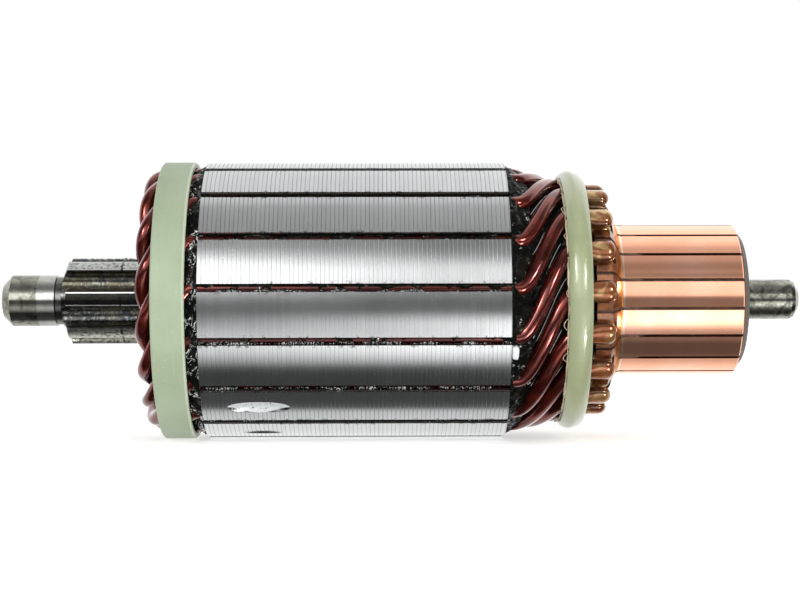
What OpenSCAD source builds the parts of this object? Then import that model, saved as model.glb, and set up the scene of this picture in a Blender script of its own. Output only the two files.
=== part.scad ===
// Motor armature of a four-pole starter motor: shaft with cut pinion, slotted core,
// wave winding of hairpin coils, banding rings and commutator.
// The shaft lies along X with the commutator at +X. The origin is the middle of the
// drive-end journal wall. Millimetres, Z up.

/* [Shaft] */
// Radius of the drive-end journal
drive_journal_r = 5.1; // [4:0.1:7]
// Length of the drive-end journal wall
drive_journal_len = 8.8; // [6:0.2:14]
// Chamfer at the drive end of the shaft
drive_chamfer = 1.7; // [0.3:0.1:2]
// Radius of the relief groove between journal and pinion
relief_r = 4.8; // [3.5:0.1:5]
// Length of the relief groove
relief_len = 1.5; // [0.5:0.1:3]
// Radius of the shaft under the core
core_seat_r = 7.5; // [6:0.1:7.8]
// Radius of the shaft under the commutator bush
commutator_seat_r = 6.5; // [5:0.1:7]
// Radius of the commutator-end journal
commutator_journal_r = 4; // [3:0.1:5]
// Length of the commutator-end journal wall
commutator_journal_len = 10.3; // [7:0.1:14]
// Chamfer at the commutator end of the shaft
commutator_chamfer = 1.6; // [0.3:0.1:2]

/* [Pinion] */
// Number of teeth
pinion_teeth = 7; // [6:1:12]
// Tip radius of the teeth
pinion_tip_r = 8.6; // [7:0.1:10]
// Radius at the bottom of a tooth space
pinion_root_r = 5.6; // [5.2:0.1:7]
// Radius of the round bottom of a tooth space
tooth_space_r = 2.2; // [1:0.1:2.4]
// Width of a tooth space at the tip circle
tooth_space_mouth = 5.04; // [4:0.02:5.4]
// Length of the toothed part
pinion_len = 17.8; // [10:0.1:20]
// Axial length of the steep end chamfer
pinion_chamfer = 1.4; // [0.5:0.1:3]
// Angle of one tooth land, upwards from the -Y side
pinion_angle = 2.7; // [-25:0.1:25]

/* [Core] */
// Number of slots, coils and commutator bars
slots = 17; // [17:1:17]
// Outside radius of the lamination stack
core_r = 27.35; // [26.8:0.05:30]
// Where the stack starts
core_start_x = 34.8; // [34.5:0.1:40]
// Length of the stack
core_len = 58.4; // [40:0.1:60]
// Angle of the first slot, upwards from the -Y side
slot_angle = 4.8; // [0:0.1:21]
// Width of the slot mouth
slot_mouth = 1.57; // [1:0.01:2.2]
// Radial height of the lips that close a slot
slot_lip = 0.9; // [0.5:0.05:0.95]
// Thickness of a slot liner
liner_wall = 0.16; // [0.1:0.01:0.3]
// Thickness of the core end insulators
insulator_thick = 1.2; // [0.5:0.1:1.4]
// How far the core end insulators stay below the tops of the wires
insulator_step = 0.1; // [0.05:0.05:0.5]
// Depth of the deeper balance cut
balance_depth = 0.9; // [0.3:0.05:1.2]
// Radius of the milling disc that made the balance cuts
balance_disc_r = 20; // [12:1:40]

/* [Winding] */
// Diameter of the enamelled wire
wire_d = 2.9; // [2:0.05:2.95]
// Radial distance between the two layers
layer_step = 3.3; // [3.2:0.05:3.6]
// Straight length of the wires beyond the commutator-end insulator
straight_out_len = 0.3; // [0.2:0.1:1]
// Axial length over which they lean at the commutator end
lean_len = 11.2; // [11:0.1:13]
// How far the outer layer closes in towards the commutator
outer_close_in = 3.4; // [3:0.1:3.6]
// How far the inner layer closes in towards the commutator
inner_close_in = 3.35; // [3.2:0.05:3.5]
// Distance from the core to the risers of the commutator
commutator_distance = 16.7; // [16.5:0.1:20]
// How far the wires reach over the risers
tip_reach = 3.6; // [3:0.1:4.2]
// Width of a flattened outer wire tip
tip_width = 4.4; // [3:0.1:4.8]
// Axial length of a leaning leg at the drive end, up to its turn
head_len = 7.9; // [7.5:0.1:12]
// Curve of those legs, where 1 is straight
head_curve = 1.4; // [1.2:0.05:1.7]
// Axial depth of the turn of a hairpin head
head_turn_depth = 1.4; // [1.2:0.05:2]
// How far the outer layer closes in towards the heads
outer_sag = 0.5; // [0.3:0.05:0.8]
// How far the inner layer closes in towards the heads
inner_sag = 1.3; // [1.1:0.05:1.6]
// Thickness of the sleeves between the two layers
sleeve_wall = 0.16; // [0.1:0.01:0.2]

/* [Banding rings] */
// Thickness of the drive-end ring
drive_band_wall = 1.05; // [0.6:0.05:2]
// Width of the drive-end ring
drive_band_width = 6.3; // [4:0.1:6.6]
// Distance from the core to the drive-end ring
drive_band_distance = 2.4; // [1.4:0.1:3]
// Bevel on the edges of the drive-end ring
drive_band_bevel = 0.3; // [0.1:0.05:0.4]
// Largest thickness of the commutator-end ring
commutator_band_wall = 1.75; // [1.2:0.05:2.2]
// Width of the commutator-end ring
commutator_band_width = 4.4; // [4:0.1:5]
// Distance from the core to the commutator-end ring
commutator_band_distance = 11; // [10.5:0.1:11.4]
// Radius of the rounding over the commutator-end ring
commutator_band_round = 3; // [2.9:0.1:6]

/* [Commutator] */
// Radius of the brush track
track_r = 15; // [13:0.1:16]
// Axial length of a riser with its slope
riser_len = 5.8; // [5.6:0.1:8]
// Length of the brush track
track_len = 23.3; // [16:0.1:30]
// Length of the hub's end face beyond the track
hub_lip = 1.3; // [0.6:0.1:2]
// Thickness of the insulation between two bars
mica_thick = 0.6; // [0.4:0.05:1]
// Depth to which the insulation is cut back under the brush track
undercut_depth = 0.8; // [0.3:0.05:1.2]
// Angle by which the bars lag behind the slots
bar_lag = 0.85; // [0:0.05:2]
// Depth of the bars under the brush track
bar_depth = 2.6; // [2:0.1:3.5]
// Depth of the bars' anchoring hooks
hook_depth = 2; // [1:0.1:2.2]
// Wall of the bush in the hub
bush_wall = 1.3; // [0.8:0.1:2]
// How far the hub's end face stays below the brush track
hub_step = 1; // [0.5:0.1:3]

/* [Fits] */
// Clearance between parts that are pressed or bonded together
seat_gap = 0.02; // [0.01:0.01:0.05]
// Clearance between a wire and what holds it
wire_gap = 0.05; // [0.03:0.01:0.1]

/* [Hidden] */
$fn = 96;
pitch = 360 / slots;
wire_r = wire_d / 2;
core_end_x = core_start_x + core_len;
outer_layer_r = core_r - slot_lip - wire_gap - wire_r;
insulator_r = outer_layer_r + wire_r - insulator_step;
inner_layer_r = outer_layer_r - layer_step;
slot_half = wire_r + wire_gap + liner_wall + seat_gap;
slot_bottom_r = inner_layer_r - wire_r - wire_gap - liner_wall - seat_gap;
drive_face_x = -drive_journal_len / 2 - drive_chamfer;
pinion_start_x = drive_journal_len / 2 + relief_len;
pinion_end_x = pinion_start_x + pinion_len;
shoulder_end_x = core_start_x - insulator_thick - seat_gap;
core_seat_end_x = core_end_x + insulator_thick + 0.4;
riser_start_x = core_end_x + commutator_distance;
track_start_x = riser_start_x + riser_len;
track_end_x = track_start_x + track_len;
hub_end_x = track_end_x + hub_lip;
journal_end_x = hub_end_x + commutator_journal_len;
shaft_end_x = journal_end_x + commutator_chamfer;
tip_x = riser_start_x + tip_reach;
lean_start_x = core_end_x + insulator_thick + straight_out_len;
lean_end_x = lean_start_x + lean_len;
head_start_x = core_start_x - insulator_thick - 0.2;
head_turn_x = head_start_x - head_len;
binding_r = outer_layer_r + wire_r + wire_gap;
drive_band_r = binding_r + drive_band_wall;
drive_band_x = core_start_x - drive_band_distance - drive_band_width;
commutator_band_x = core_end_x + commutator_band_distance;
bar_inner_r = track_r - bar_depth;
bar_hook_r = bar_inner_r - hook_depth;
bush_r = commutator_seat_r + seat_gap + bush_wall;
hub_end_r = track_r - hub_step;
liner_height = core_r - slot_lip - 0.1 - slot_bottom_r;
outer_tip_r = outer_layer_r - outer_close_in;
inner_tip_r = inner_layer_r - inner_close_in;
riser_r = outer_tip_r - wire_r - wire_gap;
fork_bottom_r = inner_tip_r - wire_r - wire_gap;
fork_half = wire_r + wire_gap;
tip_flat = 3.4;
sides = 8;

coil_names = [for (k = [1:slots]) str("coil_", k < 10 ? "0" : "", k)];
bar_names = [for (k = [1:slots]) str("commutator_bar_", k < 10 ? "0" : "", k)];

// Turns a shape built along Z so that it stands on the shaft line, starting at x.
module station(x) {
    translate([x, 0, 0])
        rotate([90, 0, 90])
            children();
}

// Turns a shape built along +X in a station to an angle measured upwards from the -Y side.
module around(angle) {
    rotate([0, 0, 180 - angle])
        children();
}

// A solid of revolution about the shaft line from [x, radius] points.
module turned(points) {
    station(0)
        rotate_extrude()
            polygon([for (p = points) [p[1], p[0]]]);
}

// ---- shaft ----

module tooth_space() {
    centre = pinion_root_r + tooth_space_r;
    translate([centre, 0])
        circle(tooth_space_r);
    polygon([
        [centre, -tooth_space_r], [pinion_tip_r + 0.4, -tooth_space_mouth / 2 - 0.1],
        [pinion_tip_r + 0.4, tooth_space_mouth / 2 + 0.1], [centre, tooth_space_r]]);
}

module pinion() {
    intersection() {
        station(pinion_start_x)
            linear_extrude(pinion_len + 0.5)
                around(pinion_angle + 180 / pinion_teeth)
                    difference() {
                        circle(pinion_tip_r);
                        for (i = [0:pinion_teeth - 1])
                            rotate(i * 360 / pinion_teeth)
                                tooth_space();
                    }
        turned([
            [pinion_start_x, 0], [pinion_start_x, pinion_root_r - 0.2],
            [pinion_start_x + pinion_chamfer, pinion_tip_r + 0.01],
            [pinion_end_x + 0.5, pinion_tip_r + 0.01], [pinion_end_x + 0.5, 0]]);
    }
}

module shaft() {
    color("#5b5a50")
        union() {
            turned([
                [drive_face_x, 0], [drive_face_x, drive_journal_r - drive_chamfer],
                [drive_face_x + drive_chamfer, drive_journal_r],
                [drive_journal_len / 2, drive_journal_r],
                [drive_journal_len / 2 + 0.2, relief_r],
                [pinion_start_x + 0.1, relief_r], [pinion_start_x + 0.1, 0]]);
            pinion();
            turned([
                [pinion_end_x, 0], [pinion_end_x, pinion_root_r],
                [pinion_end_x + 2, pinion_tip_r], [shoulder_end_x, pinion_tip_r],
                [shoulder_end_x, core_seat_r], [core_seat_end_x, core_seat_r],
                [core_seat_end_x + 1, commutator_seat_r],
                [hub_end_x - 0.6, commutator_seat_r],
                [hub_end_x, commutator_seat_r - 0.6], [hub_end_x, commutator_journal_r],
                [journal_end_x, commutator_journal_r],
                [shaft_end_x - commutator_chamfer / 2, commutator_journal_r - 0.35],
                [shaft_end_x, commutator_journal_r - commutator_chamfer], [shaft_end_x, 0]]);
        }
}

// ---- core ----

// One slot with its narrow mouth, seen along the shaft.
module slot_outline() {
    translate([slot_bottom_r, -slot_half])
        square([core_r - slot_lip - slot_bottom_r, 2 * slot_half]);
    translate([core_r - slot_lip - 0.1, -slot_mouth / 2])
        square([slot_lip + 1, slot_mouth]);
}

module slotted_disc(radius) {
    difference() {
        circle(radius);
        circle(core_seat_r + seat_gap);
        for (k = [0:slots - 1])
            around(slot_angle + k * pitch)
                slot_outline();
    }
}

// The rounded edge of a milling disc, sunk radially into the core.
module balance_cut(x, angle, depth) {
    edge_r = 1.87;
    station(x)
        around(angle)
            translate([core_r - depth + balance_disc_r, 0, 0])
                rotate([90, 0, 0])
                    rotate_extrude()
                        translate([balance_disc_r - edge_r, 0])
                            circle(edge_r);
}

module lamination_stack() {
    color("#b9bcbf")
        difference() {
            station(core_start_x)
                linear_extrude(core_len)
                    slotted_disc(core_r);
            balance_cut(core_start_x + 10.85, slot_angle - 2.5 * pitch, balance_depth);
            balance_cut(core_start_x + 11.2, slot_angle - 3.5 * pitch, balance_depth / 2);
        }
}

module core_insulator(x) {
    color("#1d1c1b")
        station(x)
            linear_extrude(insulator_thick - seat_gap)
                slotted_disc(insulator_r);
}

module slot_liners() {
    half = slot_half - seat_gap;
    bottom = slot_bottom_r + seat_gap;
    color("#2a2624")
        station(core_start_x - insulator_thick)
            linear_extrude(core_len + 2 * insulator_thick)
                for (k = [0:slots - 1])
                    around(slot_angle + k * pitch)
                        difference() {
                            translate([bottom, -half])
                                square([liner_height, 2 * half]);
                            translate([bottom + liner_wall, -half + liner_wall])
                                square([liner_height, 2 * (half - liner_wall)]);
                        }
}

// ---- winding ----

function ease(t) = let (c = max(0, min(1, t))) c * c * (3 - 2 * c);
function close_in(x) = ease((x - core_end_x + 0.1) / 17);
function lean(x) = ease((x - lean_start_x) / lean_len);

// The turn of a head carries on at the slope with which its legs end.
turn_share = PI / 2 * head_turn_depth * head_curve / head_len;
head_lean = 2 * pitch / (1 + turn_share);
turn_lean = 2 * pitch - head_lean;

// Stations at the commutator end as [x, share of the full section].
lean_steps = 7;
tip_stations = concat(
    [[tip_x, 0.4], [tip_x - 0.45, 0.8], [tip_x - 1.5, 1], [tip_x - tip_flat, 1]],
    [for (i = [lean_steps:-1:0]) [lean_start_x + lean_len * i / lean_steps, 1]]);
head_steps = 6;
turn_steps = 6;

// Centre line of a hairpin, as [x, radius, angle, turn, half width, half height], from
// the outer tip through slot k, over the head, back four slots lower to the inner tip.
function outer_leg(k) = [
    for (s = tip_stations)
        let (flat = ease((s[0] - tip_x + tip_flat + 4) / 4))
        [s[0], outer_layer_r - outer_close_in * close_in(s[0]),
            slot_angle + k * pitch + (2 * pitch - bar_lag) * lean(s[0]), 0,
            s[1] * (wire_r + (tip_width / 2 - wire_r) * flat), s[1] * wire_r]];
function outer_head(k) = [
    for (i = [0:head_steps])
        let (u = i / head_steps)
        [head_start_x - head_len * u, outer_layer_r - outer_sag * ease(u),
            slot_angle + k * pitch - head_lean * pow(u, head_curve), 0, wire_r, wire_r]];
function head_turn(k) = [
    for (i = [1:turn_steps - 1])
        let (b = 180 * i / turn_steps)
        let (top = outer_layer_r - outer_sag)
        let (low = inner_layer_r - inner_sag)
        [head_turn_x - head_turn_depth * sin(b), (top + low) / 2 + (top - low) / 2 * cos(b),
            slot_angle + k * pitch - head_lean - turn_lean * b / 90, b, wire_r, wire_r]];
function inner_head(k) = [
    for (i = [head_steps:-1:0])
        let (u = i / head_steps)
        [head_start_x - head_len * u, inner_layer_r - inner_sag * ease(u),
            slot_angle + (k - 4) * pitch + head_lean * pow(u, head_curve), 180, wire_r, wire_r]];
function inner_leg(k) = [
    for (i = [len(tip_stations) - 1:-1:0])
        let (s = tip_stations[i])
        [s[0], inner_layer_r - inner_close_in * close_in(s[0]),
            slot_angle + (k - 4) * pitch - (2 * pitch + bar_lag) * lean(s[0]), 180,
            s[1] * wire_r, s[1] * wire_r]];
function hairpin(k) = concat(outer_leg(k), outer_head(k), head_turn(k), inner_head(k), inner_leg(k));

function radial(angle) = [0, -cos(angle), sin(angle)];
function spot(p) = [p[0], 0, 0] + p[1] * radial(p[2]);
function unit(v) = v / norm(v);
function outward(p) = cos(p[3]) * radial(p[2]) - sin(p[3]) * [1, 0, 0];

// One ring of the wire's section, square to the line, with its height axis outward.
function ring(path, i) =
    let (a = spot(path[max(i - 1, 0)]))
    let (b = spot(path[min(i + 1, len(path) - 1)]))
    let (t = unit(b - a))
    let (up = outward(path[i]))
    let (n = unit(up - (up * t) * t))
    let (w = cross(t, n))
    [for (j = [0:sides - 1])
        let (f = 360 * (j + 0.5) / sides)
        spot(path[i]) + path[i][5] * cos(f) * n + path[i][4] * sin(f) * w];

module wire(path) {
    rings = len(path);
    points = [for (i = [0:rings - 1]) each ring(path, i)];
    skin = [
        for (i = [0:rings - 2])
            for (j = [0:sides - 1])
                let (a = i * sides + j)
                let (b = i * sides + (j + 1) % sides)
                each [[a, b, b + sides], [a, b + sides, a + sides]]];
    first = [for (j = [sides - 1:-1:0]) j];
    last = [for (j = [0:sides - 1]) (rings - 1) * sides + j];
    polyhedron(points, concat(skin, [first, last]));
}

module coil(k) {
    color("#6f1d14")
        wire(hairpin(k));
}

// A thin sleeve that follows the middle between the two layers.
module drive_end_layer_sleeve() {
    steps = 8;
    start = head_start_x - 0.2;
    length = head_len - wire_r;
    color("#2a2624")
        turned(concat(
            [for (i = [0:steps]) sleeve_point_drive(start - length * i / steps, sleeve_wall / 2)],
            [for (i = [steps:-1:0]) sleeve_point_drive(start - length * i / steps, -sleeve_wall / 2)]));
}

function sleeve_point_drive(x, side) =
    let (u = ease((head_start_x - x) / head_len))
    [x, (outer_layer_r + inner_layer_r - (outer_sag + inner_sag) * u) / 2 + side];
function sleeve_point_commutator(x, side) =
    [x, (outer_layer_r + inner_layer_r - (outer_close_in + inner_close_in) * close_in(x)) / 2 + side];

module commutator_end_layer_sleeve() {
    steps = 12;
    start = core_end_x + insulator_thick + 0.1;
    length = riser_start_x - start - 0.5;
    color("#2a2624")
        turned(concat(
            [for (i = [0:steps]) sleeve_point_commutator(start + length * i / steps, sleeve_wall / 2)],
            [for (i = [steps:-1:0]) sleeve_point_commutator(start + length * i / steps, -sleeve_wall / 2)]));
}

// ---- banding rings ----

module drive_end_band() {
    inner = binding_r;
    end = drive_band_x + drive_band_width;
    bevel = drive_band_bevel;
    color("#c3d3b4")
        turned([
            [drive_band_x, inner], [drive_band_x, drive_band_r - bevel],
            [drive_band_x + bevel, drive_band_r], [end - bevel, drive_band_r],
            [end, drive_band_r - bevel], [end, inner]]);
}

module commutator_end_band() {
    steps = 6;
    end = commutator_band_x + commutator_band_width;
    top = binding_r - outer_close_in * close_in(commutator_band_x) + commutator_band_wall;
    color("#c9d9a6")
        station(0)
            rotate_extrude()
                intersection() {
                    translate([top - commutator_band_round, (commutator_band_x + end) / 2])
                        circle(commutator_band_round);
                    polygon(concat(
                        [for (i = [0:steps])
                            let (x = commutator_band_x + commutator_band_width * i / steps)
                            [binding_r - outer_close_in * close_in(x), x]],
                        [[top + 1, end], [top + 1, commutator_band_x]]));
                }
}

// ---- commutator ----

function bar_angle(k) = slot_angle - bar_lag + k * pitch;

// Underside of the bars with two hooks that lean towards each other, as [x, radius].
function bar_back(gap) = [
    [track_end_x, bar_inner_r - gap], [track_end_x - 1.6 + 2 * gap, bar_inner_r - gap],
    [track_end_x - 3 + 2 * gap, bar_hook_r - gap], [track_end_x - 6 - 2 * gap, bar_hook_r - gap],
    [track_end_x - 4.6 - 2 * gap, bar_inner_r - gap],
    [riser_start_x + 4.6 + 2 * gap, bar_inner_r - gap],
    [riser_start_x + 6 + 2 * gap, bar_hook_r - gap], [riser_start_x + 3 - 2 * gap, bar_hook_r - gap],
    [riser_start_x + 1.6 - 2 * gap, bar_inner_r - gap], [riser_start_x, bar_inner_r - gap]];
bar_front = [
    [riser_start_x, riser_r], [riser_start_x + 3, riser_r],
    [riser_start_x + 4, riser_r - 1.6], [riser_start_x + 5.3, track_r + 0.1],
    [track_start_x, track_r + 0.1], [track_start_x, track_r]];

// One sector of the commutator, less half of the insulation at each side.
module commutator_bar(k) {
    cut = mica_thick / 2 + seat_gap;
    color("#c4713f")
        station(0)
            around(bar_angle(k))
                difference() {
                    rotate([0, 0, -pitch / 2])
                        rotate_extrude(angle = pitch)
                            polygon([for (p = concat(bar_front, [[track_end_x - 0.3, track_r],
                                [track_end_x, track_r - 0.3]], bar_back(0))) [p[1], p[0]]]);
                    for (side = [-1, 1])
                        rotate([0, 0, side * pitch / 2])
                            translate([bar_hook_r - 2, -cut, riser_start_x - 1])
                                cube([riser_r - bar_hook_r + 4, 2 * cut, track_end_x - riser_start_x + 2]);
                    translate([fork_bottom_r, -fork_half, riser_start_x - 1])
                        cube([riser_r - fork_bottom_r + 1, 2 * fork_half, tip_reach + 1.2]);
                }
}

module bar_insulation() {
    front = [
        [riser_start_x, riser_r - 0.6], [riser_start_x + 2.9, riser_r - 0.6],
        [riser_start_x + 5.1, track_r + 0.05], [track_start_x + 2.6, track_r - 0.01],
        [track_start_x + 4.4, track_r - undercut_depth], [track_end_x, track_r - undercut_depth]];
    color("#6f675a")
        station(0)
            for (k = [0:slots - 1])
                around(bar_angle(k) + pitch / 2)
                    rotate([90, 0, 0])
                        linear_extrude(mica_thick, center = true)
                            polygon([for (p = concat(front, bar_back(0))) [p[1], p[0]]]);
}

module commutator_hub() {
    back = bar_back(seat_gap);
    face = track_end_x + seat_gap;
    color("#4a4d4f")
        turned(concat(
            [[riser_start_x, bush_r + seat_gap]],
            [for (i = [len(back) - 1:-1:0]) back[i]],
            [[face, back[0][1]], [face, hub_end_r], [hub_end_x - 1, hub_end_r],
                [hub_end_x, hub_end_r - 1.3], [hub_end_x, bush_r + seat_gap]]));
}

module commutator_bush() {
    color("#8d8f8f")
        turned([
            [riser_start_x - 0.6, commutator_seat_r + seat_gap], [riser_start_x - 0.6, bush_r],
            [hub_end_x - 0.2, bush_r], [hub_end_x - 0.2, commutator_seat_r + seat_gap]]);
}

// ---- drawing ----

shaft();
lamination_stack();
core_insulator(core_start_x - insulator_thick);  // drive_end_insulator
core_insulator(core_end_x + seat_gap);  // commutator_end_insulator
slot_liners();
drive_end_layer_sleeve();
commutator_end_layer_sleeve();
for (k = [0:slots - 1])
    coil(k);
drive_end_band();
commutator_end_band();
for (k = [0:slots - 1])
    commutator_bar(k);
bar_insulation();
commutator_hub();
commutator_bush();
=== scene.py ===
"""Looks of a starter motor armature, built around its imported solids."""

import logging
import math
from dataclasses import dataclass
from enum import Enum
from typing import Callable, NamedTuple, Sequence

import bmesh
import bpy
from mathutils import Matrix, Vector, noise


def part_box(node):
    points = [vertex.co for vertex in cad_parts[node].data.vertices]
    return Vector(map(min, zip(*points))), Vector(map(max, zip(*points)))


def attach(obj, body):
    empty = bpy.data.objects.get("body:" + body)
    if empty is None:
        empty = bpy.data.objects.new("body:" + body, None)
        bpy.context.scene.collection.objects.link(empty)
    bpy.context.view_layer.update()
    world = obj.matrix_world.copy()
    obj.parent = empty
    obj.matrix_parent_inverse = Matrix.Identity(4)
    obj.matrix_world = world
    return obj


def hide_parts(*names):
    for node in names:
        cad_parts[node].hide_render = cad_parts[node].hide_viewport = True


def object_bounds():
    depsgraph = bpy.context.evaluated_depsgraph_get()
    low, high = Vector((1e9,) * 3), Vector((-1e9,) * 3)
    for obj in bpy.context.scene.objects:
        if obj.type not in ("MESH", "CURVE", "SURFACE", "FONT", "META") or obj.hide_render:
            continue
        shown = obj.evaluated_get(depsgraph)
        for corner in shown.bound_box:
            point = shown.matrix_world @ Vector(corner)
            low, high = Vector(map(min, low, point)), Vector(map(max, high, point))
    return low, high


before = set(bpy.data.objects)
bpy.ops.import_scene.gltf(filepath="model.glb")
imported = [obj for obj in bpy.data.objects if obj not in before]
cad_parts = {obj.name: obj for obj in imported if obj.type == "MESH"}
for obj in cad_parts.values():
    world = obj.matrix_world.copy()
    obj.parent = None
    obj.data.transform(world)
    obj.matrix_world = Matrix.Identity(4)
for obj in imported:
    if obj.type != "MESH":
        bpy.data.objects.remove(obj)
CAD_BOX = [list(corner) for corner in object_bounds()]

log = logging.getLogger("armature")

MM = 0.001
FULL_TURN = 2.0 * math.pi
SLOTS = 17
FIRST_SLOT = 4.8
SLOT_DEGREES = 360.0 / SLOTS
SLOT_TURN = FULL_TURN / SLOTS
MOUTH_R = 26.5
BAR_LAG = 0.85

Object = bpy.types.Object
Material = bpy.types.Material
Point = tuple[float, float, float]
Colour = tuple[float, float, float]
Faces = list[list[int]]
Shape = tuple[list[Point], Faces]
Stops = Sequence[tuple[float, float | Colour]]


class Socket:
    """A shader socket that can be used in Python expressions."""

    def __init__(self, graph: "Graph", link: bpy.types.NodeSocket) -> None:
        """Wrap one output socket of a node in a graph."""
        self.graph = graph
        self.link = link

    def _math(self, operation: str, *values: "Value") -> "Socket":
        """Result of one Math node with this operation, such as ADD, on these values in order."""
        made = self.graph.node("ShaderNodeMath", {"operation": operation}, dict(enumerate(values)))
        return Socket(self.graph, made.outputs[0])

    def __add__(self, other: "Value") -> "Socket":
        """Sum."""
        return self._math("ADD", self, other)

    def __radd__(self, other: float) -> "Socket":
        """Sum with a number on the left."""
        return self._math("ADD", other, self)

    def __sub__(self, other: "Value") -> "Socket":
        """Difference."""
        return self._math("SUBTRACT", self, other)

    def __rsub__(self, other: float) -> "Socket":
        """Difference with a number on the left."""
        return self._math("SUBTRACT", other, self)

    def __mul__(self, other: "Value") -> "Socket":
        """Product."""
        return self._math("MULTIPLY", self, other)

    def __rmul__(self, other: float) -> "Socket":
        """Product with a number on the left."""
        return self._math("MULTIPLY", other, self)

    def __truediv__(self, other: "Value") -> "Socket":
        """Quotient."""
        return self._math("DIVIDE", self, other)

    def __pow__(self, power: float) -> "Socket":
        """Power."""
        return self._math("POWER", self, power)

    def __abs__(self) -> "Socket":
        """Size without its sign."""
        return self._math("ABSOLUTE", self)

    def fraction(self) -> "Socket":
        """Part after the decimal point."""
        return self._math("FRACT", self)

    def floor(self) -> "Socket":
        """Whole number below."""
        return self._math("FLOOR", self)

    def root(self) -> "Socket":
        """Square root."""
        return self._math("SQRT", self)

    def at_most(self, other: "Value") -> "Socket":
        """The smaller of two."""
        return self._math("MINIMUM", self, other)

    def at_least(self, other: "Value") -> "Socket":
        """The larger of two."""
        return self._math("MAXIMUM", self, other)

    def direction_from(self, other: "Socket") -> "Socket":
        """Angle of (other, self) in radians."""
        return self._math("ARCTAN2", self, other)

    def off_nearest(self, first: float, pitch: float) -> "Socket":
        """Offset from the nearest of evenly spaced places, as a share of their pitch."""
        return ((self - first) / pitch + 0.5).fraction() - 0.5

    def step(self, low: float, high: float) -> "Socket":
        """Smooth step from 0 at low to 1 at high; falls where low is above high.

        Args:
            low: Value where the result is 0.
            high: Value where the result is 1.

        Returns:
            The step.
        """
        rising = low < high
        made = self.graph.node(
            "ShaderNodeMapRange", {"interpolation_type": "SMOOTHSTEP", "clamp": True},
            {"Value": self, "From Min": min(low, high), "From Max": max(low, high),
             "To Min": 0.0 if rising else 1.0, "To Max": 1.0 if rising else 0.0})
        return Socket(self.graph, made.outputs[0])

    def window(self, low: float, full: float, fade: float, high: float) -> "Socket":
        """1 between full and fade, falling to 0 at low and at high."""
        return self.step(low, full) * self.step(high, fade)

    def between(self, low: float, high: float, soft: float) -> "Socket":
        """1 between low and high, with soft edges that reach as far to both sides."""
        return self.window(low - soft, low + soft, high - soft, high + soft)


Value = Socket | float


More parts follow.
